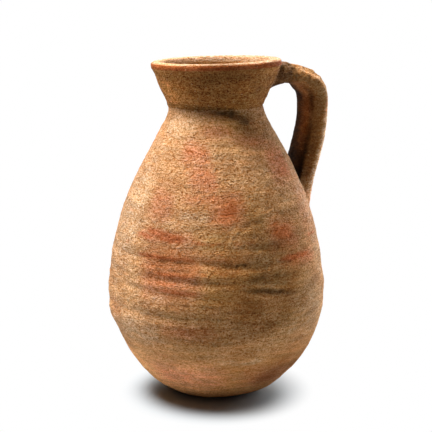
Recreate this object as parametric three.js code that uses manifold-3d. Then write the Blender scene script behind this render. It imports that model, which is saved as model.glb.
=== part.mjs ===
// A wheel-thrown redware jug with one strap handle, standing on its small flat base.
// Millimetres, +Z up. The origin is the centre of the resting face and +X points to the handle.

import * as THREE from 'three';
import { mergeVertices } from 'three/addons/utils/BufferGeometryUtils.js';
import Module from 'manifold-3d';

const wasm = await Module();
wasm.setup();

// Driving dimensions of the thrown vessel
const REST_RADIUS = 21.6;
const BELLY_RADIUS = 81.4;
const BELLY_HEIGHT = 68.5;
const SEAM_ABOVE_BELLY = 22.5;
const SHOULDER_HEIGHT = 147.7;
const THROAT_RADIUS = 34.6;
const NECK_HEIGHT = 34;
const RIM_RADIUS = 48.2;
const NECK_TILT = THREE.MathUtils.degToRad(2.1);
const LIP_BAND_HEIGHT = 4;
const LIP_BEVEL = 1.8;
const LIP_THICKNESS = 7.4;
const LIP_ROUNDING = 1;
const WALL_THICKNESS = 6.8;
const BASE_THICKNESS = 9;

// Reach of the curve handles that set how flat the base is and how full the bowl and shoulder are
const REST_EDGE_RISE = 0.3;
const BOWL_FLATNESS = 37;
const FLOOR_FLATNESS = 50;
const BOWL_FULLNESS = 8.7;
const SHOULDER_FULLNESS = 86.5;
const SHOULDER_HOLLOW = 25.6;
const SHOULDER_HOLLOW_SPREAD = 7.8;

// Turning marks round the body, by height over the seam: a groove swells inwards, a ridge outwards
const TURNING_MARKS = [
  { aboveSeam: 24, swell: -0.6 },
  { aboveSeam: 14, swell: 0.4 },
  { aboveSeam: 0, swell: -0.6 },
  { aboveSeam: -9, swell: 0.4 },
  { aboveSeam: -19, swell: -0.4 },
];
const MARK_SPREAD = 5;

// Coil of clay pressed over the joint inside the neck
const COIL_WIDTH = 10;
const COIL_THICKNESS = 3;

// Strap handle: a rounded oblong drawn out from the neck, over and down to the shoulder
const STRAP_WIDTH = 27.8;
const STRAP_THICKNESS = 18;
const STRAP_SQUARENESS = 3.2;
const ROOT_BELOW_RIM = 10.6;
const ROOT_INSET = 11.2;
const ROOT_DROOP = THREE.MathUtils.degToRad(2.6);
const ROOT_PULL = 44;
const GRIP_BEYOND_RIM = 35.5;
const GRIP_BELOW_RIM = 38.2;
const GRIP_PULL_UP = 18;
const GRIP_PULL_DOWN = 28;
const FOOT_ABOVE_SEAM = 21;
const FOOT_INSET = 15.6;
const FOOT_SLANT = THREE.MathUtils.degToRad(9);
const FOOT_PULL = 64;

// Pads of clay smeared round both ends of the handle, measured from the strap's ends
const ROOT_PAD_SIZES = { above: -3.6, beside: 7, up: 12, down: 17, thickness: 9 };
const FOOT_PAD_SIZES = { above: 25, beside: 10, up: 38, down: 36, thickness: 7 };
const PAD_SINK = 3;

// Clearance kept where one piece of clay is cut to the shape of its neighbour
const JOINT_GAP = 0.3;

// Precision of the search along a curve, and distance within which points are one
const HEIGHT_TOLERANCE = 1e-7;
const MERGE_DISTANCE = 1e-4;

// Mesh steps
const ROUND_STEPS = 48;
const BOWL_STEPS = 13;
const OUTSIDE_STEP = 5;
const INSIDE_STEP = 12;
const NECK_STEPS = 5;
const COIL_STEPS = 6;
const STRAP_STEPS = 16;
const SECTION_POINTS = 20;
const PAD_RINGS = 6;
const PAD_SPOKES = 24;

// Heights over the resting face
const SEAM_HEIGHT = BELLY_HEIGHT + SEAM_ABOVE_BELLY;
const THROAT_HEIGHT = BELLY_HEIGHT + SHOULDER_HEIGHT;
const RIM_HEIGHT = THROAT_HEIGHT + NECK_HEIGHT;
const BAND_HEIGHT = RIM_HEIGHT - LIP_BAND_HEIGHT;
const ROOT_HEIGHT = RIM_HEIGHT - ROOT_BELOW_RIM;
const GRIP_HEIGHT = RIM_HEIGHT - GRIP_BELOW_RIM;
const FOOT_HEIGHT = SEAM_HEIGHT + FOOT_ABOVE_SEAM;

// Fired clay
const BODY_COLOUR = 0xcb9769;
const NECK_COLOUR = 0xb18152;
const HANDLE_COLOUR = 0xb58455;
const LUTING_COLOUR = 0xbc8b5b;
const CLAY_ROUGHNESS = 0.92;

function clay(colour) {
  return new THREE.MeshStandardMaterial({ color: colour, roughness: CLAY_ROUGHNESS, metalness: 0 });
}

function at(radius, height) {
  return new THREE.Vector2(radius, height);
}

// Wall of the vessel
const bowlCurve = new THREE.CubicBezierCurve(
  at(REST_RADIUS, 0),
  at(REST_RADIUS + BOWL_FLATNESS, REST_EDGE_RISE),
  at(BELLY_RADIUS, BELLY_HEIGHT - BOWL_FULLNESS),
  at(BELLY_RADIUS, BELLY_HEIGHT),
);

const shoulderCurve = new THREE.CubicBezierCurve(
  at(BELLY_RADIUS, BELLY_HEIGHT),
  at(BELLY_RADIUS, BELLY_HEIGHT + SHOULDER_FULLNESS),
  at(THROAT_RADIUS + SHOULDER_HOLLOW_SPREAD, THROAT_HEIGHT - SHOULDER_HOLLOW),
  at(THROAT_RADIUS, THROAT_HEIGHT),
);

const floorCurve = new THREE.CubicBezierCurve(
  at(0, BASE_THICKNESS),
  at(FLOOR_FLATNESS, BASE_THICKNESS),
  at(BELLY_RADIUS - WALL_THICKNESS, BELLY_HEIGHT - BOWL_FULLNESS),
  at(BELLY_RADIUS - WALL_THICKNESS, BELLY_HEIGHT),
);

function radiusOnCurve(curve, height) {
  let low = 0;
  let high = 1;
  while (high - low > HEIGHT_TOLERANCE) {
    const middle = (low + high) / 2;
    if (curve.getPoint(middle).y < height) low = middle;
    else high = middle;
  }
  return curve.getPoint(low).x;
}

function turningMark(height) {
  let swell = 0;
  for (const mark of TURNING_MARKS) {
    const away = (height - SEAM_HEIGHT - mark.aboveSeam) / MARK_SPREAD;
    swell += mark.swell * Math.exp(-(away ** 2));
  }
  return swell;
}

function outsideRadius(height) {
  if (height >= THROAT_HEIGHT) {
    const share = Math.min((height - THROAT_HEIGHT) / (BAND_HEIGHT - THROAT_HEIGHT), 1);
    return THREE.MathUtils.lerp(THROAT_RADIUS, RIM_RADIUS, share);
  }
  const curve = height < BELLY_HEIGHT ? bowlCurve : shoulderCurve;
  return radiusOnCurve(curve, height) + turningMark(height);
}

// Points on the outside, evenly spaced in height, both ends included
function outsidePoints(from, to) {
  const count = Math.ceil((to - from) / OUTSIDE_STEP);
  const points = [];
  for (let i = 0; i <= count; i += 1) {
    const height = THREE.MathUtils.lerp(from, to, i / count);
    points.push(at(outsideRadius(height), height));
  }
  return points;
}

// Points on the inside of the shoulder, from the top end down to the lower one
function insidePoints(from, to) {
  const count = Math.ceil((from - to) / INSIDE_STEP);
  const points = [];
  for (let i = 0; i <= count; i += 1) {
    const height = THREE.MathUtils.lerp(from, to, i / count);
    points.push(at(radiusOnCurve(shoulderCurve, height) - WALL_THICKNESS, height));
  }
  return points;
}

function bowlPoints() {
  const points = bowlCurve.getPoints(BOWL_STEPS);
  return points.map((point) => at(point.x + turningMark(point.y), point.y));
}

// The neck was set on a little askew, so it rises toward the handle
function neckLean(x, height) {
  const share = Math.max(height - THROAT_HEIGHT, 0) / NECK_HEIGHT;
  return x * Math.tan(NECK_TILT) * share;
}

// Closed geometry with shared vertices and without the empty triangles on the axis
function closeUp(geometry) {
  const bare = geometry.clone();
  bare.deleteAttribute('normal');
  bare.deleteAttribute('uv');
  const merged = mergeVertices(bare, MERGE_DISTANCE);
  const kept = [];
  const index = merged.index.array;
  for (let i = 0; i < index.length; i += 3) {
    const [a, b, c] = [index[i], index[i + 1], index[i + 2]];
    if (a !== b && b !== c && c !== a) kept.push(a, b, c);
  }
  merged.setIndex(kept);
  merged.computeVertexNormals();
  return merged;
}

function turned(profile) {
  const geometry = new THREE.LatheGeometry(profile, ROUND_STEPS);
  geometry.rotateX(Math.PI / 2);
  const position = geometry.attributes.position;
  for (let i = 0; i < position.count; i += 1) {
    const height = position.getZ(i);
    position.setZ(i, height + neckLean(position.getX(i), height));
  }
  return closeUp(geometry);
}

function toSolid(geometry) {
  return new wasm.Manifold(new wasm.Mesh({
    numProp: 3,
    vertProperties: new Float32Array(geometry.attributes.position.array),
    triVerts: new Uint32Array(geometry.index.array),
  }));
}

// The largest body of a solid, without the crumbs that a cut leaves
function toGeometry(solid) {
  const bodies = solid.decompose();
  bodies.sort((a, b) => b.volume() - a.volume());
  const mesh = bodies[0].getMesh();
  const geometry = new THREE.BufferGeometry();
  geometry.setAttribute('position', new THREE.BufferAttribute(new Float32Array(mesh.vertProperties), 3));
  geometry.setIndex(Array.from(mesh.triVerts));
  geometry.computeVertexNormals();
  return geometry;
}

// Rings of points joined into one closed skin, with a fan over each end
function skin(rings) {
  const across = rings[0].length;
  const points = rings.flat();
  const faces = [];
  for (let i = 0; i + 1 < rings.length; i += 1) {
    for (let j = 0; j < across; j += 1) {
      const next = (j + 1) % across;
      const [a, b] = [i * across + j, i * across + next];
      const [c, d] = [(i + 1) * across + j, (i + 1) * across + next];
      faces.push(a, b, c, b, d, c);
    }
  }
  const addCap = (ring, offset, turnedOver) => {
    const centre = new THREE.Vector3();
    ring.forEach((point) => centre.add(point));
    const middle = points.push(centre.divideScalar(across)) - 1;
    for (let j = 0; j < across; j += 1) {
      const [a, b] = [offset + j, offset + ((j + 1) % across)];
      if (turnedOver) faces.push(middle, a, b);
      else faces.push(middle, b, a);
    }
  };
  addCap(rings[0], 0, false);
  addCap(rings.at(-1), (rings.length - 1) * across, true);
  const geometry = new THREE.BufferGeometry().setFromPoints(points);
  geometry.setIndex(faces);
  return geometry;
}

// Path of the handle's centre line in the plane y = 0, as height over reach
const ROOT_REACH = RIM_RADIUS - ROOT_INSET;
const GRIP_REACH = RIM_RADIUS + GRIP_BEYOND_RIM;
const FOOT_REACH = outsideRadius(FOOT_HEIGHT) - FOOT_INSET;
const strapPath = new THREE.CurvePath();
strapPath.add(new THREE.CubicBezierCurve(
  at(ROOT_REACH, ROOT_HEIGHT),
  at(ROOT_REACH + ROOT_PULL * Math.cos(ROOT_DROOP), ROOT_HEIGHT - ROOT_PULL * Math.sin(ROOT_DROOP)),
  at(GRIP_REACH, GRIP_HEIGHT + GRIP_PULL_UP),
  at(GRIP_REACH, GRIP_HEIGHT),
));
strapPath.add(new THREE.CubicBezierCurve(
  at(GRIP_REACH, GRIP_HEIGHT),
  at(GRIP_REACH, GRIP_HEIGHT - GRIP_PULL_DOWN),
  at(FOOT_REACH + FOOT_PULL * Math.sin(FOOT_SLANT), FOOT_HEIGHT + FOOT_PULL * Math.cos(FOOT_SLANT)),
  at(FOOT_REACH, FOOT_HEIGHT),
));

// One point of the oblong section: width across, thickness away from the body
function sectionPoint(angle, growth) {
  const power = 2 / STRAP_SQUARENESS;
  const [cos, sin] = [Math.cos(angle), Math.sin(angle)];
  return at(
    Math.sign(cos) * Math.abs(cos) ** power * (STRAP_WIDTH / 2 + growth),
    Math.sign(sin) * Math.abs(sin) ** power * (STRAP_THICKNESS / 2 + growth),
  );
}

function strapGeometry(growth) {
  const rings = [];
  for (const curve of strapPath.curves) {
    const first = rings.length === 0 ? 0 : 1;
    for (let i = first; i <= STRAP_STEPS; i += 1) {
      const centre = curve.getPoint(i / STRAP_STEPS);
      const tangent = curve.getTangent(i / STRAP_STEPS);
      const ring = [];
      for (let j = 0; j < SECTION_POINTS; j += 1) {
        const section = sectionPoint((j / SECTION_POINTS) * 2 * Math.PI, growth);
        ring.push(new THREE.Vector3(
          centre.x - tangent.y * section.y,
          section.x,
          centre.y + tangent.x * section.y,
        ));
      }
      rings.push(ring);
    }
  }
  return skin(rings);
}

// A point over the wall, given its distance round from the handle, its height and its stand
function overWall(around, height, stand) {
  const radius = outsideRadius(height);
  const angle = around / radius;
  const x = (radius + stand) * Math.cos(angle);
  return new THREE.Vector3(x, (radius + stand) * Math.sin(angle), height + neckLean(x, height));
}

// An oval dome on the wall, thick in the middle and feathered out at its edge, with its back sunk in
function padGeometry(pad, strapEnd) {
  const across = STRAP_WIDTH / 2 + pad.beside;
  const ringAt = (share, stand) => {
    const ring = [];
    for (let j = 0; j < PAD_SPOKES; j += 1) {
      const angle = (j / PAD_SPOKES) * 2 * Math.PI;
      const rise = Math.sin(angle) * share * (Math.sin(angle) > 0 ? pad.up : pad.down);
      ring.push(overWall(Math.cos(angle) * share * across, strapEnd + pad.above + rise, stand));
    }
    return ring;
  };
  const back = [];
  const front = [];
  for (let i = 1; i <= PAD_RINGS; i += 1) {
    const share = i / PAD_RINGS;
    back.push(ringAt(share, -PAD_SINK));
    front.unshift(ringAt(share, pad.thickness * (1 - share ** 2)));
  }
  return skin([...back, ...front]);
}

// Filled outline of the vessel, a joint gap larger all round
function vesselEnvelope() {
  const grow = (point) => at(point.x + JOINT_GAP, point.y);
  const profile = [
    at(0, -JOINT_GAP),
    ...bowlPoints().map(grow),
    ...outsidePoints(BELLY_HEIGHT, SEAM_HEIGHT).slice(1).map(grow),
    ...outsidePoints(SEAM_HEIGHT, THROAT_HEIGHT).slice(1).map(grow),
    ...neckOutside().slice(1).map(grow),
    at(0, RIM_HEIGHT),
  ];
  return toSolid(turned(profile));
}

function neckOutside() {
  const points = [];
  for (let i = 0; i <= NECK_STEPS; i += 1) {
    const height = THREE.MathUtils.lerp(THROAT_HEIGHT, BAND_HEIGHT, i / NECK_STEPS);
    points.push(at(outsideRadius(height), height));
  }
  points.push(at(RIM_RADIUS - LIP_BEVEL / 2, RIM_HEIGHT - LIP_ROUNDING));
  points.push(at(RIM_RADIUS - LIP_BEVEL - LIP_ROUNDING / 2, RIM_HEIGHT));
  return points;
}

// Bowl: flat base, round belly and the wall up to the groove at the widest part
function lowerBody() {
  const profile = [
    at(0, 0),
    ...bowlPoints(),
    ...outsidePoints(BELLY_HEIGHT, SEAM_HEIGHT).slice(1),
    ...insidePoints(SEAM_HEIGHT, BELLY_HEIGHT),
    ...floorCurve.getPoints(BOWL_STEPS).reverse().slice(1),
  ];
  return new THREE.Mesh(turned(profile), clay(BODY_COLOUR));
}

// Shoulder: the wall drawn in from the belly to the throat
function upperBody() {
  const inside = insidePoints(THROAT_HEIGHT, SEAM_HEIGHT);
  const outside = outsidePoints(SEAM_HEIGHT, THROAT_HEIGHT);
  const profile = [...outside, ...inside, outside[0]];
  return new THREE.Mesh(turned(profile), clay(BODY_COLOUR));
}

function neckInside() {
  const top = at(RIM_RADIUS - LIP_THICKNESS, RIM_HEIGHT);
  const bottom = at(THROAT_RADIUS - WALL_THICKNESS, THROAT_HEIGHT);
  const points = [at(top.x + LIP_ROUNDING, top.y), at(top.x, top.y - LIP_ROUNDING)];
  for (let i = 1; i <= NECK_STEPS; i += 1) {
    points.push(points[1].clone().lerp(bottom, i / NECK_STEPS));
  }
  return points;
}

// Neck: a straight flare set on the shoulder, with a bevelled lip
function neck() {
  const outside = neckOutside();
  const profile = [...outside, ...neckInside(), outside[0]];
  return new THREE.Mesh(turned(profile), clay(NECK_COLOUR));
}

// Inside radius on both sides of the joint between the shoulder and the neck
function insideRadius(height) {
  if (height <= THROAT_HEIGHT) return radiusOnCurve(shoulderCurve, height) - WALL_THICKNESS;
  const share = (height - THROAT_HEIGHT) / (NECK_HEIGHT - LIP_ROUNDING);
  return THREE.MathUtils.lerp(THROAT_RADIUS - WALL_THICKNESS, RIM_RADIUS - LIP_THICKNESS, share);
}

// Coil pressed flat over the joint, thickest at the throat
function neckLutingCoil() {
  const back = [];
  const front = [];
  for (let i = 0; i <= COIL_STEPS; i += 1) {
    const share = i / COIL_STEPS;
    const height = THROAT_HEIGHT + (share - 0.5) * COIL_WIDTH;
    const radius = insideRadius(height) - JOINT_GAP;
    back.push(at(radius, height));
    if (i > 0 && i < COIL_STEPS) {
      front.unshift(at(radius - COIL_THICKNESS * Math.sin(share * Math.PI), height));
    }
  }
  const profile = [...back, ...front, back[0]];
  return new THREE.Mesh(turned(profile), clay(LUTING_COLOUR));
}

const envelope = vesselEnvelope();

function handle() {
  const strap = toSolid(strapGeometry(0));
  return new THREE.Mesh(toGeometry(strap.subtract(envelope)), clay(HANDLE_COLOUR));
}

function luting(pad, strapEnd) {
  const strap = toSolid(strapGeometry(JOINT_GAP));
  const smear = toSolid(padGeometry(pad, strapEnd));
  return new THREE.Mesh(toGeometry(smear.subtract(strap).subtract(envelope)), clay(LUTING_COLOUR));
}

const jug = new THREE.Group();

function addPiece(name, mesh) {
  mesh.name = name;
  jug.add(mesh);
}

addPiece('lower_body', lowerBody());
addPiece('upper_body', upperBody());
addPiece('neck', neck());
addPiece('neck_luting_coil', neckLutingCoil());
addPiece('handle', handle());
addPiece('handle_root_luting', luting(ROOT_PAD_SIZES, ROOT_HEIGHT));
addPiece('handle_foot_luting', luting(FOOT_PAD_SIZES, FOOT_HEIGHT));

export default jug;
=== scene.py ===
"""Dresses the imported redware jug: fired clay over the fixed frame, a pale floor and soft studio light."""

import math

import bpy
import numpy as np
from mathutils import Matrix, Vector


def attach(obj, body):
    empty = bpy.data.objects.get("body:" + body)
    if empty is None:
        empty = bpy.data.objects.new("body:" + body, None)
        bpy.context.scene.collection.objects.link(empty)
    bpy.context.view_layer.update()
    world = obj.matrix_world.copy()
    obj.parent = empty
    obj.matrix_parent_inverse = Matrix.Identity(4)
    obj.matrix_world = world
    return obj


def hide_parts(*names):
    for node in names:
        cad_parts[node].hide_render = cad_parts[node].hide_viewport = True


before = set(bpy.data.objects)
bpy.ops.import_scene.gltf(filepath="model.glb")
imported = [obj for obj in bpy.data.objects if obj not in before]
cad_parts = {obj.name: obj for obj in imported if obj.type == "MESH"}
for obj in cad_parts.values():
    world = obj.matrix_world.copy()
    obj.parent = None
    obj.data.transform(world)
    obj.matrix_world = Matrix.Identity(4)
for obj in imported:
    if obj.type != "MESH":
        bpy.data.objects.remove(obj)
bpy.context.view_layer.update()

# Lengths are in millimetres where no comment says metres, and angles in degrees
MM = 0.001
PER_METRE = 1000.0
SEED = 7

# Thrown vessel, with the sizes of the frame's own solids
REST_RADIUS = 21.6
BELLY_RADIUS = 81.4
BELLY_HEIGHT = 68.5
SEAM_HEIGHT = 91.0
THROAT_HEIGHT = 216.2
THROAT_RADIUS = 34.6
RIM_RADIUS = 48.2
RIM_HEIGHT = 250.2
BAND_HEIGHT = 246.2
LIP_THICKNESS = 7.4
WALL_THICKNESS = 6.8
BASE_THICKNESS = 9.0

# Reach of the curve handles that set how flat the base is and how full the bowl and shoulder are
REST_EDGE_RISE = 0.3
BOWL_FLATNESS = 37.0
FLOOR_FLATNESS = 50.0
BOWL_FULLNESS = 8.7
SHOULDER_FULLNESS = 86.5
SHOULDER_HOLLOW = 25.6
SHOULDER_HOLLOW_SPREAD = 7.8

# Lip, as offsets of radius and height from its outer corner, its outer edge and its inner edge at the top
LIP_BAND = [(0.0, -1.0), (0.2, 0.6), (0.1, 1.9)]
LIP_CROWN = [(-0.5, -1.0), (-1.5, -0.3), (-3.0, 0.0)]
LIP_INSIDE = [(1.8, -0.2), (0.6, -0.9), (-0.1, -2.2)]

# The neck was set on askew: it rises toward the handle and stands a little high
NECK_TILT = 1.6
NECK_RAISED = 0.4
LEAN_START = 170.0

# Coil of clay pressed over the joint inside the neck
COIL_WIDTH = 10.0
COIL_THICKNESS = 3.3
COIL_BLUNTNESS = 0.8
COIL_SUNK = 0.4

# Strap handle, in the plane y = 0 with its width along y. Its ends are smeared clay.
STRAP_WIDTH = 27.8
STRAP_THICKNESS = 18.0
STRAP_SQUARENESS = 3.2
ROOT = (37.0, 239.6)
ROOT_PULL = (44.0, -2.0)
GRIP = (83.7, 212.0)
GRIP_PULL_UP = 18.0
GRIP_PULL_DOWN = 28.0
FOOT = (62.0, 112.0)
FOOT_PULL = (10.0, 63.2)
ROOT_SMEAR_REACH = 56.0
FOOT_SMEAR_HEIGHT = 168.0

# What the potter's fingers changed on the strap: how much, and the heights or reaches where it starts and
# ends. CHANNEL, HOLLOWED_REACH and the FULLEST pairs are a middle and a spread.
CHANNEL_DEPTH = 0.7
CHANNEL = (-0.8, 3.5)
PILLOW = 2.6
BEND_HEIGHTS = (205.0, 228.0)
BEND_REACHES = (50.0, 62.0)
NEAR_BEVEL = 2.8
THINNED_UNDER = 2.4
THINNED_REACHES = ((48.0, 58.0), (60.0, 78.0))
HOLLOWED_UNDER = 2.2
HOLLOWED_REACH = (68.5, 4.5)
FULLER_ABOVE = 0.45
FULLER_REACHES = ((44.0, 52.0), (55.0, 62.0))
FULLER_OUTSIDE = 0.8
FULLER_HEIGHTS = ((120.0, 134.0), (186.0, 204.0))
FULLEST_HEIGHT = (141.0, 8.0)
FULLEST_REACH = (77.0, 3.2)

# Heights and reaches between which the strap's colours change
UPPER_BEND = (214.0, 232.0)
LOWER_HALF = (150.0, 205.0)
LOWER_EDGE = (190.0, 215.0)
BY_FOOT = (140.0, 160.0)
BY_NECK = (58.0, 64.0)
PAST_ROOT = (60.0, 66.0)

# Fillets where the strap meets the wall
ROOT_FILLET_UNDER = 10.0
ROOT_FILLET_BESIDE = 7.0
ROOT_FILLET_TOP = 2.5
FOOT_FILLET = 9.0

# The photograph looks along this line, with the handle a little behind the picture's right
HANDLE_BEHIND = 27.7
CAMERA_DISTANCE = 890.0
CAMERA_HEIGHT = 300.0
CAMERA_PITCH = 10.6
FOCAL_PIXELS = 1203.0
IMAGE_PIXELS = 432
SENSOR_WIDTH = 36.0
CLIP_START = 50.0
FRONT = -90.0 - HANDLE_BEHIND

# Steps of the curves, and then of the meshes
BOWL_STEPS = 400
SHOULDER_STEPS = 600
FLOOR_STEPS = 300
UPPER_STRAP_STEPS = 200
LOWER_STRAP_STEPS = 300
ROUND_COUNT = 512
BASE_STEP = 3.0
PROFILE_STEP = 1.0
LIP_STEP = 0.5
INSIDE_STEP = 2.5
STRAP_STEP = 1.0
SECTION_COUNT = 96
COIL_ROWS = 14
COIL_COUNT = 256


def unit(vectors):
    return vectors / np.maximum(np.linalg.norm(vectors, axis=-1, keepdims=True), 1e-9)


def smooth_step(values, low, high):
    share = np.clip((values - low) / (high - low), 0.0, 1.0)
    return share * share * (3.0 - 2.0 * share)


def between(values, rise, fall):
    """1 between two soft steps, each given by where it starts and ends."""
    return smooth_step(values, *rise) * (1.0 - smooth_step(values, *fall))


def bump(values, middle, width):
    return np.exp(-((values - middle) / width) ** 2)


def wrapped(angle):
    """The same angle between -180 and 180."""
    return (angle + 180.0) % 360.0 - 180.0


# Seeded noise on a wrapped lattice, so that neighbouring pieces share one rough surface
LATTICE_SIZE = 48
LAYER_SHIFT = 17.3
lattice = np.random.default_rng(SEED).uniform(-1.0, 1.0, (LATTICE_SIZE,) * 3)


def noise(points, size):
    """Smooth noise between -1 and 1 with features of about that size."""
    cell = points / size + LATTICE_SIZE
    low = np.floor(cell).astype(int)
    part = cell - low
    part = part * part * (3.0 - 2.0 * part)
    total = np.zeros(points.shape[:-1])
    for corner in np.ndindex(2, 2, 2):
        weight = np.ones(points.shape[:-1])
        for axis in range(3):
            weight *= part[..., axis] if corner[axis] else 1.0 - part[..., axis]
        place = [(low[..., axis] + corner[axis]) % LATTICE_SIZE for axis in range(3)]
        total += weight * lattice[tuple(place)]
    return total


def layered_noise(points, size, layers):
    total = np.zeros(points.shape[:-1])
    for layer in range(layers):
        total += noise(points + LAYER_SHIFT * layer, size / 2 ** layer) / 2 ** layer
    return total


# Lines of radius and height, or of reach and height
def bezier(points, count):
    a, b, c, d = (np.asarray(point, float) for point in points)
    t = np.linspace(0.0, 1.0, count)[:, None]
    return (1 - t) ** 3 * a + 3 * (1 - t) ** 2 * t * b + 3 * (1 - t) * t ** 2 * c + t ** 3 * d


def lengths_along(points):
    return np.concatenate([[0.0], np.cumsum(np.linalg.norm(np.diff(points, axis=0), axis=1))])


def read_at(places, lengths, pairs):
    """The pairs that belong to the places, between those given at the lengths."""
    return np.stack([np.interp(places, lengths, pairs[:, i]) for i in range(2)], axis=1)


def evenly(points, step):
    """The same line with points a step apart, both ends kept."""
    lengths = lengths_along(points)
    count = max(int(round(lengths[-1] / step)), 1)
    return read_at(np.linspace(0.0, lengths[-1], count + 1), lengths, points)


def turned(line, count):
    """Rings of points: a line of radii and heights turned round the upright axis."""
    angle = np.linspace(0.0, 2.0 * math.pi, count, endpoint=False)
    radius, height = line[:, :1], line[:, 1:]
    return np.stack([radius * np.cos(angle), radius * np.sin(angle), height + 0.0 * angle], axis=-1)


def grid_normals(grid):
    around = np.roll(grid, -1, axis=1) - np.roll(grid, 1, axis=1)
    along = np.gradient(grid, axis=0)
    return unit(np.cross(around, along))


# Outline of the vessel
def bowl_outside():
    return bezier([(REST_RADIUS, 0), (REST_RADIUS + BOWL_FLATNESS, REST_EDGE_RISE),
                   (BELLY_RADIUS, BELLY_HEIGHT - BOWL_FULLNESS), (BELLY_RADIUS, BELLY_HEIGHT)], BOWL_STEPS)


def shoulder_outside():
    hollow = (THROAT_RADIUS + SHOULDER_HOLLOW_SPREAD, THROAT_HEIGHT - SHOULDER_HOLLOW)
    return bezier([(BELLY_RADIUS, BELLY_HEIGHT), (BELLY_RADIUS, BELLY_HEIGHT + SHOULDER_FULLNESS),
                   hollow, (THROAT_RADIUS, THROAT_HEIGHT)], SHOULDER_STEPS)


def bowl_inside():
    radius = BELLY_RADIUS - WALL_THICKNESS
    return bezier([(0.0, BASE_THICKNESS), (FLOOR_FLATNESS, BASE_THICKNESS),
                   (radius, BELLY_HEIGHT - BOWL_FULLNESS), (radius, BELLY_HEIGHT)], FLOOR_STEPS)


def cut_at(points, height):
    """The part of a rising line below a height, and the part above it, sharing one point."""
    radius = np.interp(height, points[:, 1], points[:, 0])
    joint = np.array([[radius, height]])
    return (np.vstack([points[points[:, 1] < height], joint]),
            np.vstack([joint, points[points[:, 1] > height]]))


def lip_points():
    """From the outer corner of the lip, over its bevel and rounded top, to its inner edge."""
    inner = RIM_RADIUS - LIP_THICKNESS
    starts = [(RIM_RADIUS, BAND_HEIGHT), (RIM_RADIUS, RIM_HEIGHT), (inner, RIM_HEIGHT)]
    offsets = [LIP_BAND, LIP_CROWN, LIP_INSIDE]
    return np.vstack([np.array(start) + np.array(offset) for start, offset in zip(starts, offsets)])


def vessel_outline():
    """Rings of the whole skin from the middle of the base, over the lip, to the middle of the floor.

    Also returns the ring numbers of the joints: outside seam, outside throat, inside throat, inside seam.
    """
    base = np.array([(0.0, 0.0), (REST_RADIUS, 0.0)])
    lip = lip_points()
    low_wall, high_wall = cut_at(shoulder_outside(), SEAM_HEIGHT)
    neck_wall = np.vstack([(THROAT_RADIUS, THROAT_HEIGHT), lip[0]])
    neck_lining = np.vstack([lip[-1], (THROAT_RADIUS - WALL_THICKNESS, THROAT_HEIGHT)])
    low_lining, high_lining = (part - [WALL_THICKNESS, 0.0] for part in (low_wall, high_wall))
    runs = [
        evenly(base, BASE_STEP), evenly(bowl_outside(), PROFILE_STEP), evenly(low_wall, PROFILE_STEP),
        evenly(high_wall, PROFILE_STEP), evenly(neck_wall, PROFILE_STEP), evenly(lip, LIP_STEP),
        evenly(neck_lining, INSIDE_STEP), evenly(high_lining[::-1], INSIDE_STEP),
        evenly(low_lining[::-1], INSIDE_STEP), evenly(bowl_inside()[::-1], INSIDE_STEP),
    ]
    ends = np.cumsum([len(run) - 1 for run in runs])
    outline = np.vstack([runs[0]] + [run[1:] for run in runs[1:]])
    return outline, (ends[2], ends[3], ends[6], ends[7])


outline, (seam_out, throat_out, throat_in, seam_in) = vessel_outline()
wall_line = np.vstack([bowl_outside(), shoulder_outside()[1:], lip_points()[:3]])


def wall_radius(height):
    return np.interp(height, wall_line[:, 1], wall_line[:, 0])


def lean(x, height):
    """How much higher the askew neck lies at a point than an upright one would."""
    rise = x * math.tan(math.radians(NECK_TILT)) + NECK_RAISED
    return rise * smooth_step(height, LEAN_START, RIM_HEIGHT)


def upright_height(points):
    """Height of each point with the neck's lean taken off."""
    return points[..., 2] - lean(points[..., 0], points[..., 2])


# Turning marks all round: height, swell and spread
TURNING_MARKS = [
    (115, -0.6, 5), (105, 0.4, 5), (91, -0.6, 5), (82, 0.4, 5), (72, -0.4, 5),
]

# Marks on one side: azimuth from the front, half its span, height there, climb per degree, swell, spread
LOCAL_MARKS = [
    (-28, 34, 114, -0.02, -0.55, 1.7), (-20, 34, 118.5, -0.02, 0.5, 2.6), (14, 20, 111.5, -0.02, -0.7, 3),
    (56, 20, 112.5, 0.06, -0.6, 1.8), (-4, 30, 100.5, -0.02, -0.55, 2), (-4, 34, 105, -0.02, 0.45, 2.6),
    (-22, 36, 91.5, -0.015, -0.4, 2), (-18, 34, 95.5, -0.015, 0.5, 2.4), (30, 19, 92.8, -0.18, -1, 2.6),
    (34, 24, 98.4, -0.14, 0.7, 3.2), (-20, 28, 74.5, 0, -0.6, 2.4), (-16, 30, 79, 0, 0.4, 2.8),
    (18, 34, 66, 0.03, -0.5, 3.4), (5, 24, 43.5, 0, -0.4, 2), (31, 11, 123, 0, -0.5, 4),
    (-80, 40, 61.5, 0, 0.4, 5), (-80, 40, 50, 0, -0.5, 8), (92, 52, 26, 0, 1.7, 26), (92, 40, 86, 0, 0.9, 12),
    (92, 45, 160, 0, 0.4, 50), (-90, 45, 160, 0, -0.45, 50), (-92, 40, 243, 0, -0.4, 8),
    (-92, 40, 227, 0, 0.9, 9), (-92, 27, 115, 0, 0.7, 6), (-92, 27, 91.5, 0, 0.9, 6),
    (92, 30, 114, 0, 0.8, 4.5), (92, 30, 89.5, 0, 0.8, 5), (92, 30, 72, 0, 0.6, 6), (92, 35, 43, 0, 0.8, 13),
]

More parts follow.
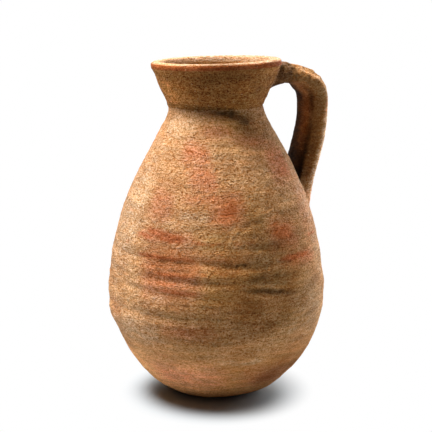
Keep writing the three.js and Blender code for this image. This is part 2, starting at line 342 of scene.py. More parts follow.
# The neck's joint: azimuth from the front, height of the crease and its depth. A deep crease is also wider.
CREASE = [
    (-180, 216.6, 0.5), (-110, 216.6, -1.2), (-80, 216.6, -1.2), (-60, 218.6, 0.3), (-40, 218.2, 1),
    (-20, 217.2, 1.5), (-2, 215.8, 1.8), (8, 215.1, 2), (18, 214.6, 2.1), (28, 213.8, 1.6), (36, 210.4, 1),
    (46, 206, 0.4), (60, 206, 0), (150, 214, 0.4), (180, 216.6, 0.5),
]
CREASE_SPREAD = 3.0
DEEP_CREASE = 1.5
CREASE_WIDENING = 0.5

# How far the marks stray up and down, and over what distance
WANDER = 0.8
WANDER_SIZE = 26.0

# Hand-finished surface, and the heights between which the smooth lower bowl turns rough
LUMP_HEIGHT = 0.45
LUMP_SIZE = 26.0
DRAG_HEIGHT = 0.16
DRAG_SIZE = 24.0
DRAG_FLATNESS = 9.0
GRAIN_HEIGHT = 0.20
GRAIN_SIZE = 2.6
FINE_GRAIN_HEIGHT = 0.13
FINE_GRAIN_SIZE = 1.5
DIMPLE_DEPTH = 0.5
DIMPLE_SIZE = 3.0
SMOOTH_BOWL = (30.0, 62.0)

# Gouges beside the handle's root: azimuth from the front, height, half span, half height, climb per degree
GOUGED = (60.0, 236.0, 24.0, 13.0, 0.0)
GOUGE_HEIGHT = 0.85
GOUGE_SIZE = 4.5
GOUGE_DEPTH = 0.3
GOUGE_STRETCH = 0.6

# Rough smear on the nearer side of the strap's root
SMEARED_HEIGHTS = (226.0, 238.0)
SMEARED_SIDE = (-2.0, 7.0)
SMEAR_HEIGHT = 1.1
SMEAR_SIZE = 4.5
SMEAR_DEPTH = 0.4

# How far the skin is set back so that its lumps stay inside the solid, where its relief runs out above the
# flat base, and the share of it that is left inside the jug and on the strap
SET_BACK = 0.5
LIP_SET_BACK = 0.15
STRAP_SET_BACK = 0.2
REST_HEIGHTS = (0.0, 6.0)
CALMED = 0.6

# Heights where parts of the lip and the lining set in
NEAR_LIP = (240.0, 248.0)
LIP_FACE = (244.6, 246.0)
LIP_CORNER = (248.6, 249.6)
LIP_TOP_INSIDE = (244.5, 248.0)
LINING_TOP = (241.5, 247.5)

# The shaded side of the lining: azimuth from the front and half its span
SHADED_SIDE = -155.0
SHADED_SPAN = 42.0


def from_front(points):
    """Azimuth of each point, counted from the photograph's view toward the picture's right."""
    return wrapped(np.degrees(np.arctan2(points[..., 1], points[..., 0])) - FRONT)


def turning_marks(points):
    """How far the wall swells at each point through marks of the wheel and of the fingers."""
    height = points[..., 2]
    azimuth = from_front(points)
    swell = np.zeros(height.shape)
    for mark_height, amount, spread_out in TURNING_MARKS:
        swell += amount * bump(height, mark_height, spread_out)
    wander = WANDER * noise(points, WANDER_SIZE)
    for middle, half, mark_height, climb, amount, spread_out in LOCAL_MARKS:
        away = wrapped(azimuth - middle)
        fade = np.exp(-(away / half) ** 4)
        swell += fade * amount * bump(height + wander - mark_height, climb * away, spread_out)
    azimuths, heights, depths = np.array(CREASE).T
    crease_height = np.interp(azimuth, azimuths, heights)
    crease_depth = np.interp(azimuth, azimuths, depths)
    crease_spread = CREASE_SPREAD + CREASE_WIDENING * np.maximum(crease_depth - DEEP_CREASE, 0.0)
    swell -= crease_depth * bump(height + 0.5 * wander, crease_height, crease_spread)
    return swell


def roughness_of_clay(points):
    """Lumps, drag lines, grains and dimples of the hand-finished surface."""
    rough = smooth_step(points[..., 2], *SMOOTH_BOWL)
    lumps = LUMP_HEIGHT * layered_noise(points, LUMP_SIZE, 3)
    drags = DRAG_HEIGHT * layered_noise(points * [1.0, 1.0, DRAG_FLATNESS], DRAG_SIZE, 3)
    grains = GRAIN_HEIGHT * noise(points, GRAIN_SIZE)
    grains += FINE_GRAIN_HEIGHT * noise(points + 5.0, FINE_GRAIN_SIZE)
    dimples = -DIMPLE_DEPTH * smooth_step(noise(points + 31.0, DIMPLE_SIZE), 0.5, 0.85)
    return lumps + drags + (0.35 + 0.65 * rough) * grains + rough * dimples


# Colours placed on the body: azimuth from the front, height, half span, half height, climb per degree,
# strength
IRON_PATCHES = [
    (-33, 132.3, 9, 3.4, -0.15, 0.85), (-25, 129.8, 8, 3, -0.05, 1), (-44, 130, 7, 3, -0.1, 0.6),
    (-4, 127.5, 12, 1.6, -0.02, 0.5), (-30, 116.2, 19, 1.8, -0.02, 0.85), (-22, 104.5, 12, 2.4, -0.03, 0.7),
    (-19, 92.8, 12, 2.2, -0.05, 0.75), (-27, 98, 8, 2.4, 0, 0.5), (-17, 188, 13, 5, 0.1, 0.35),
    (-6, 172, 9, 7, -0.3, 0.4), (9, 200, 11, 3, 0, 0.3), (-6, 158, 15, 3, 0, 0.35),
    (7, 148, 6.5, 8, 0.3, 0.65), (-35, 156, 5.5, 1.6, 0, 0.5), (-36, 146, 7, 5, 0, 0.35),
    (40, 133, 8, 7, -0.3, 0.8), (57, 180, 13, 8, 0, 0.4), (57, 172.5, 8, 4, 0, 0.65),
    (49, 114, 12, 1.9, 0.03, 1.35), (70, 126, 8, 1.6, 0, 0.6), (46, 193, 18, 3.6, -0.1, 0.3),
    (-27, 25, 16, 8, 0, 0.35), (36, 22, 12, 6, 0, 0.45), (48, 34, 9, 8, 0, 0.3), (-4, 106, 20, 3, 0, 0.25),
    (0, 116.5, 14, 2, 0, 0.3), (16, 128, 10, 2.4, 0, 0.35), (-14, 64, 9, 4, 0, 0.35),
    (120, 130, 16, 6, 0.05, 0.7), (160, 176, 14, 9, 0.1, 0.5), (-120, 150, 15, 6, -0.05, 0.6),
    (-150, 112, 22, 1.8, 0.02, 0.8), (-135, 60, 14, 7, 0, 0.4), (150, 70, 18, 5, 0, 0.4),
    (180, 140, 9, 8, 0.3, 0.4), (95, 96, 16, 1.8, 0, 0.7),
]
BLUSH_PATCHES = [
    (-30, 130, 20, 7, -0.05, 0.8), (-25, 106, 21, 26, 0, 0.85), (-17, 186, 15, 12, -0.2, 0.75),
    (-9, 170, 12, 13, -0.4, 0.75), (-36, 151, 11, 16, 0, 0.65), (7, 150, 13, 15, 0.2, 0.8),
    (-8, 157, 16, 6, 0, 0.55), (41, 131, 13, 14, 0, 0.8), (57, 178, 16, 19, 0, 0.8),
    (34, 195, 28, 7, -0.1, 0.6), (52, 112, 18, 7, 0, 0.7), (72, 150, 15, 45, 0, 0.45),
    (-14, 64, 18, 10, 0, 0.65), (-20, 26, 34, 16, 0, 0.7), (38, 24, 26, 13, 0, 0.7), (2, 201, 20, 6, 0, 0.55),
    (-66, 72, 13, 12, 0, 0.35), (0, 117, 26, 12, 0, 0.45), (-8, 78, 12, 8, 0, 0.35),
    (120, 128, 24, 14, 0, 0.8), (165, 172, 24, 18, 0.1, 0.7), (-120, 150, 22, 14, 0, 0.7),
    (-150, 108, 30, 14, 0, 0.7), (-140, 56, 24, 14, 0, 0.7), (130, 40, 40, 18, 0, 0.7),
    (-100, 30, 30, 16, 0, 0.6), (-100, 195, 24, 10, 0, 0.6),
]
# Partly sooting and partly painted shade: dark lines along the grooves and the neck's crease, where shade
# falls.
SOOT_AND_SHADE_PATCHES = [
    (-28, 113.4, 17, 1.1, -0.01, 0.6), (14, 111, 14, 3.4, -0.02, 0.65), (33, 123.8, 7, 4.2, -0.1, 0.5),
    (27, 124, 14, 6.5, -0.05, 0.42), (-24, 108.5, 14, 3.2, 0, 0.4), (0, 100.4, 18, 1.5, -0.01, 0.5),
    (27, 93.4, 15, 2.8, -0.16, 0.65), (-27, 90.6, 24, 1.2, -0.01, 0.25), (-25, 74.5, 17, 2.2, 0, 0.45),
    (-6, 57, 20, 6, 0.06, 0.45), (22, 68, 22, 6, 0, 0.35), (-8, 46, 14, 5, 0, 0.3), (27, 103, 14, 8, 0, 0.4),
    (34, 208, 7, 3.4, -0.1, 0.6), (15, 215, 17, 3.6, -0.06, 0.68), (62, 64, 10, 2.6, 0, 0.3),
    (-60, 218.6, 60, 1.6, 0, 0.6), (-12, 217.2, 26, 2.2, -0.03, 0.6), (-46, 84, 14, 5, 0, 0.4),
    (22, 142, 9, 9, 0, 0.4), (-26, 174, 9, 9, 0, 0.2), (130, 100, 22, 5, 0, 0.6),
    (-165, 90.5, 24, 1.6, 0, 0.7), (-110, 113.5, 20, 1.5, 0, 0.6), (170, 60, 26, 6, 0.04, 0.5),
    (-100, 66, 16, 6, 0, 0.3), (145, 150, 12, 9, 0, 0.4),
]
# Partly pale bloom and partly painted highlights along lit ridges.
BLOOM_AND_HIGHLIGHT_PATCHES = [
    (-68, 145, 24, 62, 0, 0.6), (-12, 146, 12, 6, 0, 0.45), (33, 128, 3.5, 2, 0, 0.8),
    (-30, 87, 6, 2.6, 0, 0.8), (16, 39, 16, 3, 0, 0.6), (-14, 70, 6, 2.4, 0, 0.5), (-45, 205, 30, 8, 0, 0.5),
    (26, 99, 16, 2.4, -0.12, 0.5), (80, 145, 16, 55, 0, 0.6), (-50, 62, 26, 14, 0, 0.5),
    (-34, 140, 8, 4, 0, 0.35), (60, 76, 18, 16, 0, 0.4), (175, 110, 25, 30, 0, 0.5),
    (-150, 190, 30, 14, 0, 0.5),
]
STAIN_PATCHES = [
    (24, 86, 36, 38, 0, 0.6), (-14, 66, 26, 26, 0, 0.45), (-30, 112, 20, 14, 0, 0.45),
    (4, 230, 46, 20, 0, 0.6), (58, 30, 24, 18, 0, 0.4), (17, 145, 12, 16, 0, 0.6), (30, 202, 14, 12, 0, 0.3),
    (36, 95, 15, 24, 0, 0.8), (140, 90, 40, 34, 0, 0.5), (-150, 75, 30, 26, 0, 0.5),
]
OCHRE_PATCHES = [
    (20, 106, 34, 52, 0, 1), (-10, 75, 20, 30, 0, 0.7), (28, 205, 30, 18, 0, 0.7), (12, 150, 14, 24, 0, 0.6),
    (-15, 112, 24, 18, 0, 0.6), (150, 90, 40, 50, 0, 0.8), (30, 26, 40, 18, 0, 0.7),
    (-160, 80, 30, 40, 0, 0.5),
]

# Partly the clay's own tone and partly painted light and shade.
# Broad lighter and darker areas, in the same terms, with the strength in halvings or doublings of the colour
TONE_LIGHT_AND_SHADE_PATCHES = [
    (-70, 231, 32, 15, 0, 0.95), (0, 238, 27, 13, 0, -0.5), (-28, 230, 15, 8, 0, 0.35),
    (28, 230, 15, 7, 0, 0.65), (-10, 221, 70, 4, 0, 0.15), (-2, 206, 24, 6, 0, 0.65),
    (46, 205, 11, 6, 0, 0.3), (34, 207, 8, 6, 0, -0.35), (30, 191, 20, 12, 0, 0.4),
    (-40, 148, 15, 9, 0, -0.25), (0, 130, 45, 9, 0, -0.3), (54, 118, 16, 16, 0, 0.35),
    (30, 108, 12, 12, 0, -0.75), (36, 93, 15, 22, 0, 0.14), (-24, 95.5, 44, 3.6, 0, 0.4),
    (-4, 84, 44, 6, 0, -0.35), (-50, 70, 30, 16, 0, 0.35), (2, 68, 28, 9, 0, -0.3), (3, 45, 16, 5, 0, -0.4),
    (-28, 125, 16, 4, 0, -0.25), (-40, 28, 52, 14, 0, 0.5), (-22, 14, 44, 9, 0, 0.25),
    (50, 24, 20, 10, 0, -0.8), (0, 186, 90, 30, 0, -0.06), (-46, 192, 20, 12, 0, -0.1),
    (-42, 208.5, 16, 5, 0, 0.4), (-27, 117.8, 13, 1.9, -0.02, 0.5), (-30, 112, 16, 2.4, -0.01, -0.3),
    (15, 111.5, 10, 2.4, 0, 0.25),
]


def patch_share(points, middle, level, half_span, half_height, climb):
    away = wrapped(from_front(points) - middle)
    rise = points[..., 2] - level - climb * away
    return np.exp(-(away / half_span) ** 4 - (rise / half_height) ** 2)


def placed_patches(points, patches):
    """The strength of a table's patches at each point, the stronger of two where they meet."""
    total = np.zeros(points.shape[:-1])
    for *where, strength in patches:
        total = np.maximum(total, strength * patch_share(points, *where))
    return total


def placed_tones_light_and_shade(points):
    return sum(strength * patch_share(points, *where) for *where, strength in TONE_LIGHT_AND_SHADE_PATCHES)


def vessel_relief(base, inside):
    """How far the worked clay stands out from the turned form at each point."""
    by_lip = smooth_step(base[..., 2], *NEAR_LIP)
    relief = roughness_of_clay(base) * (1.0 - 0.5 * by_lip) - SET_BACK + (SET_BACK - LIP_SET_BACK) * by_lip
    relief += np.where(inside, 0.0, turning_marks(base))
    gouges = GOUGE_HEIGHT * layered_noise(base * [1.0, 1.0, GOUGE_STRETCH], GOUGE_SIZE, 3) - GOUGE_DEPTH
    relief += patch_share(base, *GOUGED) * ~inside * gouges
    return relief * np.where(inside, CALMED, smooth_step(outline[:, 1], *REST_HEIGHTS)[:, None])


def vessel_marks(base, inside, relief):
    """By name, the value at each point that the clay's material reads."""
    outer = ~inside
    height = base[..., 2]
    lip_face = outer * between(height, LIP_FACE, LIP_CORNER)
    lip_top = np.where(inside, smooth_step(height, *LIP_TOP_INSIDE), smooth_step(height, *LIP_CORNER))
    shaded = np.exp(-(wrapped(from_front(base) - SHADED_SIDE) / SHADED_SPAN) ** 4)
    # Painted shade inside the mouth: the lining is darkened below the lip, most on its shaded side.
    shaded_lining = inside * (1.0 - smooth_step(height, *LINING_TOP)) * (0.35 + 0.65 * shaded)
    iron, blush, soot_and_shade, bloom_and_highlight, stain_and_shade, ochre = (outer * placed_patches(base, patches) for patches in (
        IRON_PATCHES, BLUSH_PATCHES, SOOT_AND_SHADE_PATCHES, BLOOM_AND_HIGHLIGHT_PATCHES, STAIN_PATCHES, OCHRE_PATCHES))
    return {
        "iron": np.maximum(iron, 0.75 * lip_face),
        "blush": np.maximum(blush, 0.3 * lip_top),
        "soot_and_shade": soot_and_shade,
        # Pale bloom, and the lip's top paler, partly its own colour and partly a painted highlight.
        "bloom_and_highlight": np.maximum(bloom_and_highlight * (1.0 - lip_face), 1.3 * lip_top),
        # Stains and the lip's red face, and painted shade on the lining.
        "stain_and_shade": np.maximum(stain_and_shade, np.maximum(0.9 * shaded_lining, 0.95 * lip_face)),
        "ochre": ochre,
        # Painted shade in the recesses of the relief, such as the neck's crease and the deep grooves.
        "recess_shade": smooth_step(-relief, 1.2, 3.2),
        # Partly the clay's own tone and partly painted light and shade; painted shade on the lining and a
        # lighter lip top.
        "tone_light_and_shade": outer * placed_tones_light_and_shade(base) - 0.95 * shaded_lining + 0.13 * lip_top,
        "worn": np.maximum(0.25 * smooth_step(height, *NEAR_LIP), 0.5 * (inside * (1.0 - lip_top))),
    }


def vessel_grid():
    base = turned(outline, ROUND_COUNT)
    inside = (np.arange(len(outline)) > np.argmax(outline[:, 1]))[:, None]
    relief = vessel_relief(base, inside)
    points = base + grid_normals(base) * relief[..., None]
    points[..., 2] += lean(points[..., 0], points[..., 2])
    return points, vessel_marks(base, inside, relief)


# Strap handle
def strap_path():
    """The strap's middle line, and at each of its points the direction away from the body."""
    root, grip, foot = (np.array(point) for point in (ROOT, GRIP, FOOT))
    upper = bezier([root, root + ROOT_PULL, grip + [0.0, GRIP_PULL_UP], grip], UPPER_STRAP_STEPS)
    lower = bezier([grip, grip - [0.0, GRIP_PULL_DOWN], foot + FOOT_PULL, foot], LOWER_STRAP_STEPS)
    path = evenly(np.vstack([upper, lower[1:]]), STRAP_STEP)
    tangent = unit(np.gradient(path, axis=0))
    return path, np.stack([-tangent[:, 1], tangent[:, 0]], axis=1)


def strap_section():
    """Points spread evenly round the oblong, across its width and away from the body, and their normals."""
    angle = np.append(np.linspace(0.0, 2.0 * math.pi, SECTION_COUNT, endpoint=False), 0.0)
    half = np.array([STRAP_WIDTH / 2, STRAP_THICKNESS / 2])
    share = np.stack([np.cos(angle), np.sin(angle)], axis=1)
    share = np.sign(share) * np.abs(share) ** (2.0 / STRAP_SQUARENESS)
    loop = share * half
    outward = np.sign(share) * np.abs(share) ** (STRAP_SQUARENESS - 1.0) / half
    lengths = lengths_along(loop)
    places = np.linspace(0.0, lengths[-1], SECTION_COUNT, endpoint=False)
    return read_at(places, lengths, loop), unit(read_at(places, lengths, outward))


def worked_section(path, away):
    """The section at each point of the path, with its full, hollowed and bevelled parts, and its normals."""
    section, outward = (np.repeat(pairs[None], len(path), axis=0) for pairs in strap_section())
    reach, height = path[:, :1], path[:, 1:]
    upper = height > GRIP[1]
    share = section[..., 1] / (STRAP_THICKNESS / 2)
    channel = CHANNEL_DEPTH * bump(section[..., 1], *CHANNEL) * np.abs(outward[..., 0]) ** 3
    bend = smooth_step(height, *BEND_HEIGHTS) * smooth_step(reach, *BEND_REACHES)
    pillow = PILLOW * bend * (1.0 - share ** 2) * smooth_step(-section[..., 0] / STRAP_WIDTH, 0.2, 0.5)
    section[..., 0] -= channel * outward[..., 0] + pillow
    top_bend = smooth_step(away[:, 1:], 0.3, 0.95) * smooth_step(reach, *BEND_REACHES)
    near_side = smooth_step(-section[..., 0] / STRAP_WIDTH, 0.1, 0.5)
    section[..., 0] += NEAR_BEVEL * top_bend * smooth_step(share, 0.0, 1.0) * near_side
    outside = between(height, *FULLER_HEIGHTS)
    outside += bump(height, *FULLEST_HEIGHT)
    outside += bump(reach, *FULLEST_REACH) * upper
    full = FULLER_ABOVE * (upper * between(reach, *FULLER_REACHES)) + FULLER_OUTSIDE * outside
    hollow = THINNED_UNDER * (between(reach, *THINNED_REACHES) * upper)
    hollow += HOLLOWED_UNDER * upper * bump(reach, *HOLLOWED_REACH)
    section[..., 1] += np.where(share > 0.0, full, hollow) * np.abs(share)
    return section, outward


def laid_along(path, away, section):
    """Sections set upright on the path, in space."""
    return np.stack([
        path[:, None, 0] + away[:, None, 0] * section[..., 1],
        section[..., 0],
        path[:, None, 1] + away[:, None, 1] * section[..., 1],
    ], axis=-1)


def wall_stand(points):
    """Distance of each point from the wall, and the wall's own direction there."""
    height = np.minimum(upright_height(points), BAND_HEIGHT)
    across = np.maximum(np.hypot(points[..., 0], points[..., 1]), 1e-6)
    slope = wall_radius(height + 0.5) - wall_radius(height - 0.5)
    direction = unit(np.stack([points[..., 0] / across, points[..., 1] / across, -slope], axis=-1))
    stand = (across - wall_radius(height)) / np.sqrt(1.0 + slope ** 2)
    return stand, direction


def filleted(points, facing, by_root):
    """The strap's skin flared where it meets the wall, and kept from coming through it."""
    stand, wall_facing = wall_stand(points)
    under = np.clip(-facing[..., 2], 0.0, 1.0)
    top = np.clip(facing[..., 2], 0.0, 1.0)
    root_fillet = ROOT_FILLET_BESIDE + under * (ROOT_FILLET_UNDER - ROOT_FILLET_BESIDE)
    root_fillet += top * (ROOT_FILLET_TOP - ROOT_FILLET_BESIDE)
    fillet = np.where(by_root[:, None], root_fillet, FOOT_FILLET)
    near = np.clip(stand, 0.0, fillet)
    push = fillet - np.sqrt(fillet ** 2 - (fillet - near) ** 2)
    along = facing - np.sum(facing * wall_facing, axis=-1, keepdims=True) * wall_facing
    points = points + along * push[..., None]
    buried = wall_radius(upright_height(points)) - WALL_THICKNESS / 2
    nearest = np.sqrt(np.maximum(buried ** 2 - points[..., 1] ** 2, 0.0))
    points[..., 0] = np.maximum(points[..., 0], nearest)
    return points


def strap_grid(path, away):
    """The strap's skin with its relief, smeared rough on the nearer side of its root."""
    section, outward = worked_section(path, away)
    facing = laid_along(np.zeros_like(path), away, outward)
    by_root = path[:, 1] > GRIP[1]
    points = filleted(laid_along(path, away, section), facing, by_root)
    near_side = smooth_step(-points[..., 1], *SMEARED_SIDE)
    smear = np.where(by_root[:, None], smooth_step(points[..., 2], *SMEARED_HEIGHTS), 0.0) * near_side
    relief = roughness_of_clay(points) * CALMED - STRAP_SET_BACK
    relief += smear * (SMEAR_HEIGHT * layered_noise(points + 50.0, SMEAR_SIZE, 2) - SMEAR_DEPTH)
    return points + grid_normals(points) * relief[..., None]


def strap_marks(path, away, points):
    """Painted shade on the inner face, rust along the nearer inner corner and a pale worn outer edge that is
    partly a painted highlight.
    """
    offset = points - points.mean(axis=1, keepdims=True)
    outward = (offset[..., 0] * away[:, :1] + offset[..., 2] * away[:, 1:]) / (STRAP_THICKNESS / 2)
    across = offset[..., 1] / (STRAP_WIDTH / 2)
    side = np.abs(across)
    reach, height = path[:, :1], path[:, 1:]
    upper = height > GRIP[1]

    # Parts along the strap
    upper_bend = smooth_step(height, *UPPER_BEND)
    not_bent = 1.0 - upper_bend
    low = 1.0 - smooth_step(height, *LOWER_HALF)
    lower_edge = 1.0 - smooth_step(height, *LOWER_EDGE)
    by_foot = 1.0 - smooth_step(height, *BY_FOOT)
    past_root = upper * smooth_step(reach, *PAST_ROOT)

    # Parts round it, in shares of half its width and thickness
    flank = smooth_step(side, 0.72, 0.9)
    on_strap = 1.0 - smooth_step(side, 1.0, 1.2)
    corner = smooth_step(outward, 0.0, 0.6)
    inner_side = smooth_step(-outward, -0.7, 0.5)
    inner_face = smooth_step(-outward, 0.5, 0.85) * on_strap
    far_side = smooth_step(across, -0.5, 0.7)
    near_edge = ((across + 0.8) / 0.2) ** 2
    inner_line, outer_line = (np.exp(-((outward - place) / 0.14) ** 2 - near_edge) for place in (-0.8, 0.8))

    # The pale outer edge is partly wear and partly a painted highlight.
    worn_edge_and_highlight = corner * smooth_step(side, 0.3, 0.85) * (1.0 - 0.85 * by_foot)
    by_neck = upper * (1.0 - smooth_step(reach, *BY_NECK)) * smooth_step(-across, -0.6, 0.3)
    by_neck = by_neck * (0.4 + 0.6 * on_strap)
    hidden = inner_face * (1.0 - by_foot)
    # Painted highlight on the outer edge and along its line low down, a lighter outer flank, and painted
    # shade low on the inner side and in a line along the inner corner.
    edge_highlight_and_shade = worn_edge_and_highlight * (1.0 - by_neck) * (0.75 - 0.4 * upper_bend)
    edge_highlight_and_shade += 0.25 * smooth_step(outward, -0.5, 0.1) * flank * not_bent * (1.0 - corner)
    edge_highlight_and_shade -= 0.45 * low * smooth_step(-outward, -0.5, 0.6) * (1.0 - by_foot)
    edge_highlight_and_shade += outer_line * (0.7 * lower_edge - 0.2) - 0.7 * inner_line
    # Painted shade: the inner face is darkened, down to near black on its far side and low down, where shade
    # falls between strap and body.
    inner_face_shade = hidden * (far_side * (-2.0 - 3.0 * low) - 0.3 - 1.9 * low)
    # Browner and darker away from the outer corner, more on the inner side and low down.
    browner_inward = (1.0 - corner) * (0.45 + (0.5 + 0.4 * low) * inner_side)
    return {
        # The dark coat on the inner face is painted shade; by the neck it is sooting.
        "soot_and_shade": np.maximum(1.2 * hidden * np.maximum(far_side, low), 0.8 * by_neck * corner),
        "blush": 0.35 * bump(outward, 0.9, 0.16) * (1.0 - past_root) + 0.5 * by_foot,
        "iron": 0.45 * bump(outward, 0.5, 0.16) * flank * (1.0 - lower_edge) * not_bent,
        # Pale bloom, with a painted highlight on the worn outer edge.
        "bloom_and_highlight": worn_edge_and_highlight * (1.0 - by_neck) * (0.7 - 0.25 * upper_bend) + 0.15 * by_foot,
        "stain_and_shade": browner_inward * (1.0 - 0.35 * upper_bend) * on_strap,
        # Painted shade on the inner face, painted highlight and shade along the edges, darker by the neck and
        # lighter by the foot.
        "tone_light_and_shade": inner_face_shade + edge_highlight_and_shade - 0.8 * by_neck + 0.5 * by_foot,
    }


# Fired clay: colours are linear
CLAY_SPECULAR = 0.08
RED_IRON = (0.68, 0.185, 0.062)
BLUSH = (0.68, 0.27, 0.125)
# Dark pigment for sooting and for painted shade.
SOOT_AND_SHADE = (0.105, 0.051, 0.013)
# Pale colour for bloom and for painted highlights.
PALE_BLOOM_AND_HIGHLIGHT = (0.80, 0.55, 0.34)
PALE_GRIT = (0.80, 0.52, 0.29)
LOW_ORANGE = (0.69, 0.295, 0.095)

# By slot: deep and pale ground, depth of the grain, strength of the smooth low zone and of the stray red
CLAYS = {
    "body_clay": ((0.60, 0.285, 0.115), (0.76, 0.41, 0.185), 1.45, 1.0, 0.35),
    "neck_clay": ((0.345, 0.138, 0.034), (0.455, 0.195, 0.052), 1.8, 0.0, 0.3),
    "handle_clay": ((0.36, 0.157, 0.046), (0.475, 0.236, 0.084), 1.3, 0.0, 0.12),
    "luting_clay": ((0.40, 0.182, 0.066), (0.54, 0.285, 0.120), 1.5, 0.0, 0.3),
}

# Pigments laid on where a mark of the mesh says: the mark, size of its broken edge, bite, strength and colour
# The pale undercoat also lays on painted highlights.
UNDER_COATS = [("bloom_and_highlight", 12.0, 0.9, 0.55, PALE_BLOOM_AND_HIGHLIGHT), ("blush", 11.0, 0.45, 0.95, BLUSH),
               ("iron", 6.0, 0.85, 0.8, RED_IRON)]
# The dark top coat is partly sooting and partly painted shade.
TOP_COATS = [("soot_and_shade", 6.0, 0.9, 0.62, SOOT_AND_SHADE)]

# The share of each channel that a mark lets through, and how the channels darken in the hollows of the grain
# The browning tint also carries painted shade on the lining.
TINTS = {"stain_and_shade": (0.60, 0.49, 0.34), "ochre": (0.92, 0.86, 0.62)}
GRAIN_POWERS = {"Red": 0.6, "Green": 1.05, "Blue": 1.75}

# Noise: size of its features, detail, roughness, how many times lower than wide, distortion
PATTERNS = {
    "zone_edge": (22.0, 3.0, 0.55),
    "broad": (34.0, 4.0, 0.6),
    "stray_red": (15.0, 5.0, 0.7, 1.8),
    "uneven": (18.0, 4.0, 0.6, 1.5),
    "wipes": (26.0, 4.0, 0.6, 7.0),
    "strokes": (3.0, 3.0, 0.6, 2.8, 0.2),
    "grains": (1.25, 2.0, 0.7, 1.4),
    "fine": (0.8, 2.0, 0.55),
}

# Round spots: size of their cells, their reach in a cell, and the share of cells that have one
PITS = (2.3, 0.32, 0.30)
SMALL_PITS = (1.3, 0.40, 0.40)
GRITS = (2.6, 0.28, 0.16)

# Heights in metres where the smooth low zone of the bowl sets in, and how far noise moves them
LOW_ZONE = (0.075, 0.045)
LOW_ZONE_WARP = 0.02


def feed(tree, socket, value):
    """Links an output to the socket or sets its value. A colour of three channels becomes opaque."""
    if isinstance(value, bpy.types.NodeSocket):
        tree.links.new(value, socket)
    elif socket.type == "RGBA" and len(value) == 3:
        socket.default_value = (*value, 1.0)
    else:
        socket.default_value = value


def add_node(tree, kind, settings=None, values=None):
    node = tree.nodes.new(kind)
    for name, value in (settings or {}).items():
        setattr(node, name, value)
    for name, value in (values or {}).items():
        feed(tree, node.inputs[name], value)
    return node


def noise_value(tree, place, size, detail, roughness, flatness=1.0, distortion=0.0):
    """Noise with features of that size, and that many times lower than wide."""
    if flatness != 1.0:
        place = add_node(tree, "ShaderNodeMapping", {"vector_type": "POINT"},
                         {"Vector": place, "Scale": (1.0, 1.0, flatness)}).outputs[0]
    values = {"Vector": place, "Scale": PER_METRE / size, "Detail": detail, "Roughness": roughness,
              "Distortion": distortion}
    return add_node(tree, "ShaderNodeTexNoise", None, values).outputs["Fac"]


def pattern(tree, place, name):
    return noise_value(tree, place, *PATTERNS[name])


def attribute(tree, name):
    """A mark of the mesh."""
    return add_node(tree, "ShaderNodeAttribute", {"attribute_name": name}).outputs["Fac"]


def spread(tree, value, low, high, start=0.0, end=1.0):
    """Start where the value is low and end where it is high, with a soft step between."""
    settings = {"interpolation_type": "SMOOTHSTEP"}
    values = {"Value": value, "From Min": low, "From Max": high, "To Min": start, "To Max": end}
    return add_node(tree, "ShaderNodeMapRange", settings, values).outputs["Result"]


def combine(tree, operation, first, second, third=0.0):
    values = {0: first, 1: second, 2: third}
    return add_node(tree, "ShaderNodeMath", {"operation": operation}, values).outputs[0]


def mix_colours(tree, share, first, second, blend="MIX"):
    settings = {"data_type": "RGBA", "blend_type": blend}
    return add_node(tree, "ShaderNodeMix", settings, {0: share, 6: first, 7: second}).outputs[2]


def laid_over(tree, colour, share, strength, pigment):
    return mix_colours(tree, combine(tree, "MULTIPLY", share, strength), colour, pigment)


def scaled(tree, colour, channels):
    """The colour with each channel times a level, which may pass 1."""
    levels = add_node(tree, "ShaderNodeCombineColor", None, channels)
    return mix_colours(tree, 1.0, colour, levels.outputs[0], "MULTIPLY")


def shade(tree, colour, level):
    return scaled(tree, colour, dict.fromkeys(GRAIN_POWERS, level))


def warm_shade(tree, colour, level):
    """The same, with the hollows browner than the grains that stand out."""
    level = combine(tree, "MAXIMUM", level, 0.05)
    levels = {name: combine(tree, "POWER", level, power) for name, power in GRAIN_POWERS.items()}
    return scaled(tree, colour, levels)


def mask(tree, name, place, size, bite):
    """A mark of the mesh, with its edge broken up by noise of that size."""
    value = attribute(tree, name)
    rough = noise_value(tree, place, size, 6.0, 0.8, 2.2)
    centred = combine(tree, "MULTIPLY_ADD", rough, 2.0 * bite, -bite)
    present = spread(tree, value, 0.02, 0.2)
    broken = spread(tree, combine(tree, "ADD", value, centred), 0.12, 0.85)
    return combine(tree, "MULTIPLY", broken, present)


def scattered_spots(tree, place, size, reach, share):
    """Round spots in random cells of that size, over a share of them."""
    values = {"Vector": place, "Scale": PER_METRE / size, "Randomness": 1.0}
    cells = add_node(tree, "ShaderNodeTexVoronoi", None, values)
    near = spread(tree, cells.outputs["Distance"], reach, reach * 0.4)
    chosen = add_node(tree, "ShaderNodeSeparateColor", None, {"Color": cells.outputs["Color"]}).outputs[0]
    return combine(tree, "MULTIPLY", near, combine(tree, "LESS_THAN", chosen, share))


def coated(tree, place, colour, coats):
    for name, size, bite, strength, pigment in coats:
        colour = laid_over(tree, colour, mask(tree, name, place, size, bite), strength, pigment)
    return colour


